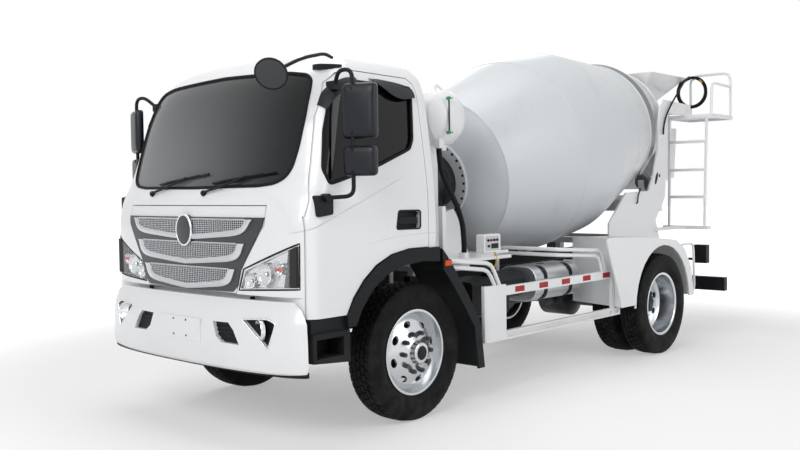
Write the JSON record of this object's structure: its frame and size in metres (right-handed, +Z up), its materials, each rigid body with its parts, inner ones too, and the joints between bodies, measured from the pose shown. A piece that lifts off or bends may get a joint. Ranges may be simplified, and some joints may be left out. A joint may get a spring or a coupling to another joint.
{
  "type": "concrete mixer truck",
  "caption": "Two-axle forward-control lorry with a tilting cab, a tilted rotating mixing drum, a loading hopper and a swinging discharge chute.",
  "frame": {"origin": "on the ground under the middle of the truck's length and width", "axes": "+X towards the truck's left side, +Y towards its tail, +Z up"},
  "size_m": [2.6884, 6.6228, 2.9034],
  "materials": {
    "white_paint": "gloss",
    "drum_paint": "gloss",
    "black_paint": "satin",
    "dark_steel": "satin",
    "tank_metal": "brushed",
    "rim_metal": "polished",
    "tyre_rubber": "matt",
    "hose_rubber": "matt",
    "black_plastic": "matt",
    "cab_glass": "clear",
    "lamp_lens": "clear",
    "seat_cloth": "woven"
  },
  "bodies": {
    "truck": {"chassis_frame": "black_paint", "front_axle": "dark_steel", "rear_axle": "dark_steel", "engine_block": "dark_steel", "fuel_tank": "tank_metal", "battery_box": "black_plastic", "exhaust_silencer": "dark_steel", "underrun_bar": "black_paint", "front_stand": "white_paint", "drum_gearbox": "dark_steel", "rear_support": "white_paint", "charging_hopper": "white_paint", "platform": "white_paint", "ladder": "white_paint", "water_tank": "white_paint", "control_box": "white_paint", "water_hose": "hose_rubber", "wash_hose": "hose_rubber", "hose_coil": "hose_rubber", "front_mudguard_left": "black_plastic", "rear_mudguard_left": "white_paint", "side_guard_left": "white_paint", "front_mudguard_right": "black_plastic", "rear_mudguard_right": "white_paint", "side_guard_right": "white_paint"},
    "cab": {"cab_shell": "white_paint", "windscreen": "cab_glass", "rear_window": "cab_glass", "cab_seats": "seat_cloth", "dashboard": "black_plastic", "front_bumper": "white_paint", "corner_mirror": "black_plastic", "headlamp_left": "lamp_lens", "headlamp_right": "lamp_lens", "step_left": "black_plastic", "step_right": "black_plastic"},
    "front_flap": {"front_flap": "white_paint"},
    "drum": {"mixer_drum": "drum_paint"},
    "chute_arm": {"chute_arm": "white_paint"},
    "chute": {"discharge_chute": "white_paint"},
    "door_left": {"door_left": "white_paint", "door_glass_left": "cab_glass", "mirror_left": "black_plastic"},
    "steering_left": {"knuckle_left": "dark_steel"},
    "front_wheel_left": {"front_rim_left": "rim_metal", "front_tyre_left": "tyre_rubber"},
    "rear_wheels_left": {"rear_rims_left": "rim_metal", "rear_tyre_outer_left": "tyre_rubber", "rear_tyre_inner_left": "tyre_rubber"},
    "roller_left": {"drum_roller_left": "dark_steel"},
    "door_right": {"door_right": "white_paint", "door_glass_right": "cab_glass", "mirror_right": "black_plastic"},
    "steering_right": {"knuckle_right": "dark_steel"},
    "front_wheel_right": {"front_rim_right": "rim_metal", "front_tyre_right": "tyre_rubber"},
    "rear_wheels_right": {"rear_rims_right": "rim_metal", "rear_tyre_outer_right": "tyre_rubber", "rear_tyre_inner_right": "tyre_rubber"},
    "roller_right": {"drum_roller_right": "dark_steel"}
  },
  "joints": [
    {"name": "cab_tilt", "type": "hinge", "parent": "truck", "child": "cab", "pos_m": [0, -3.01862, 0.64], "axis": [1, 0, 0], "range_deg": [0, 45]},
    {"name": "front_flap_lift", "type": "hinge", "parent": "cab", "child": "front_flap", "pos_m": [0, -3.17874, 1.5], "axis": [-1, 0, 0], "range_deg": [0, 60]},
    {"name": "drum_spin", "type": "hinge", "parent": "truck", "child": "drum", "pos_m": [0, -1.43861, 1.517], "axis": [0, 0.9804, 0.197], "continuous": true},
    {"name": "chute_swing", "type": "hinge", "parent": "truck", "child": "chute_arm", "pos_m": [0, 2.89138, 0.96], "axis": [0, 0, 1], "range_deg": [-140, 0]},
    {"name": "chute_tilt", "type": "hinge", "parent": "chute_arm", "child": "chute", "pos_m": [0, 2.89138, 1.2], "axis": [0, 1, 0], "range_deg": [-35, 15]},
    {"name": "door_left_swing", "type": "hinge", "parent": "cab", "child": "door_left", "pos_m": [1.02355, -3.08561, 1.12], "axis": [0, 0, -1], "range_deg": [0, 64]},
    {"name": "steer_left", "type": "hinge", "parent": "truck", "child": "steering_left", "pos_m": [0.745, -2.03862, 0.476], "axis": [0, 0, 1], "range_deg": [-35, 35]},
    {"name": "front_wheel_left_spin", "type": "hinge", "parent": "steering_left", "child": "front_wheel_left", "pos_m": [0.879, -2.03862, 0.476], "axis": [1, 0, 0], "continuous": true},
    {"name": "rear_wheels_left_spin", "type": "hinge", "parent": "truck", "child": "rear_wheels_left", "pos_m": [0.891, 1.32138, 0.476], "axis": [1, 0, 0], "continuous": true},
    {"name": "roller_left_spin", "type": "hinge", "parent": "truck", "child": "roller_left", "pos_m": [0.52232, 2.12767, 1.64181], "axis": [0, 0.9804, 0.197], "continuous": true},
    {"name": "door_right_swing", "type": "hinge", "parent": "cab", "child": "door_right", "pos_m": [-1.02355, -3.08561, 1.12], "axis": [0, 0, 1], "range_deg": [0, 64]},
    {"name": "steer_right", "type": "hinge", "parent": "truck", "child": "steering_right", "pos_m": [-0.745, -2.03862, 0.476], "axis": [0, 0, 1], "range_deg": [-35, 35]},
    {"name": "front_wheel_right_spin", "type": "hinge", "parent": "steering_right", "child": "front_wheel_right", "pos_m": [-0.879, -2.03862, 0.476], "axis": [1, 0, 0], "continuous": true},
    {"name": "rear_wheels_right_spin", "type": "hinge", "parent": "truck", "child": "rear_wheels_right", "pos_m": [-0.891, 1.32138, 0.476], "axis": [1, 0, 0], "continuous": true},
    {"name": "roller_right_spin", "type": "hinge", "parent": "truck", "child": "roller_right", "pos_m": [-0.52232, 2.12767, 1.64181], "axis": [0, 0.9804, 0.197], "continuous": true}
  ],
  "couplings": [
    {"joint": "roller_left_spin", "follows": "drum_spin", "ratio": -8.75},
    {"joint": "roller_right_spin", "follows": "drum_spin", "ratio": -8.75},
    {"joint": "steer_right", "follows": "steer_left", "ratio": 1}
  ]
}
